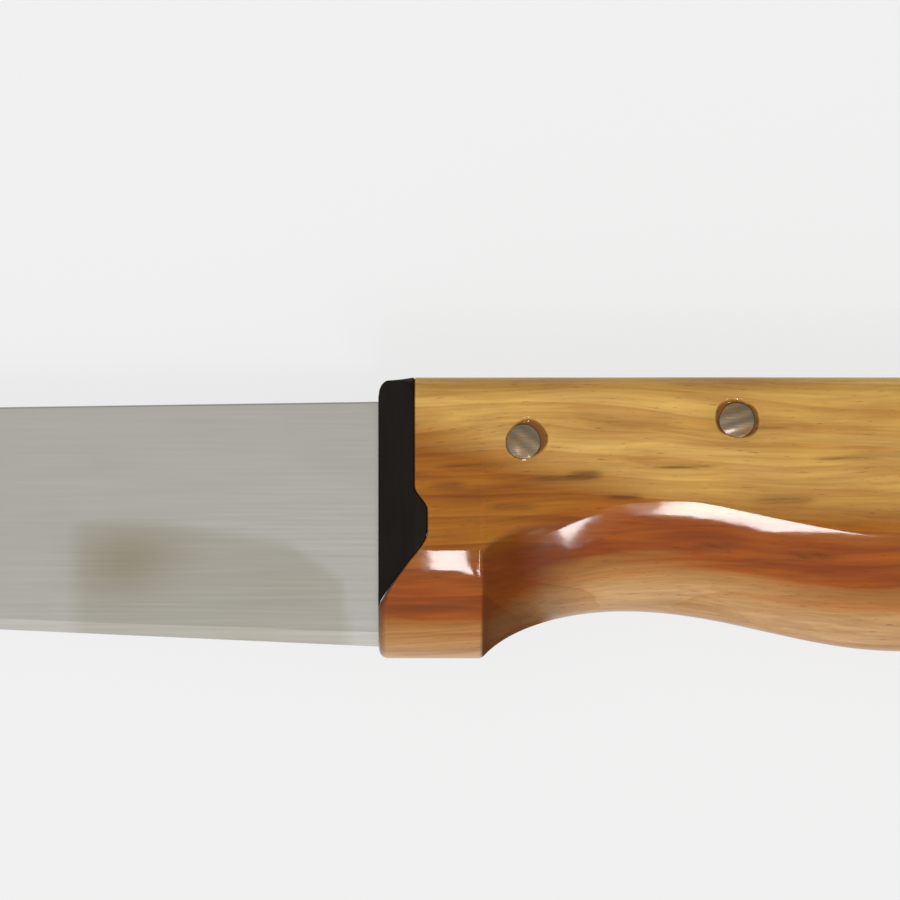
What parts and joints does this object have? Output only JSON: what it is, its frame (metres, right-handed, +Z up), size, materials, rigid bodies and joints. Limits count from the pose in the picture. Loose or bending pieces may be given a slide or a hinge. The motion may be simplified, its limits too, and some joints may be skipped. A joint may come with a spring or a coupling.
{
  "type": "grafting knife",
  "caption": "Fixed-blade grafting knife: tapering steel blade with a half tang pinned in a guarded, finger-grooved wood handle behind a black bolster.",
  "frame": {"origin": "bottom centre of the bounding box, with the knife lying on its side", "axes": "+X along the knife towards the handle's butt, +Y towards the spine, +Z up through the blade's thickness"},
  "size_m": [0.21, 0.029, 0.018],
  "materials": {
    "blade_steel": "fine satin, buffed",
    "black_resin": "satin",
    "varnished_wood": "thick gloss varnish",
    "wood_filler": "varnished",
    "pin_aluminium": "dull, peened and filed"
  },
  "bodies": {
    "root": {"blade": "blade_steel", "bolster": "black_resin", "handle": "varnished_wood", "kerf_filler": "wood_filler", "front_pin": "pin_aluminium", "rear_pin": "pin_aluminium"}
  },
  "joints": []
}
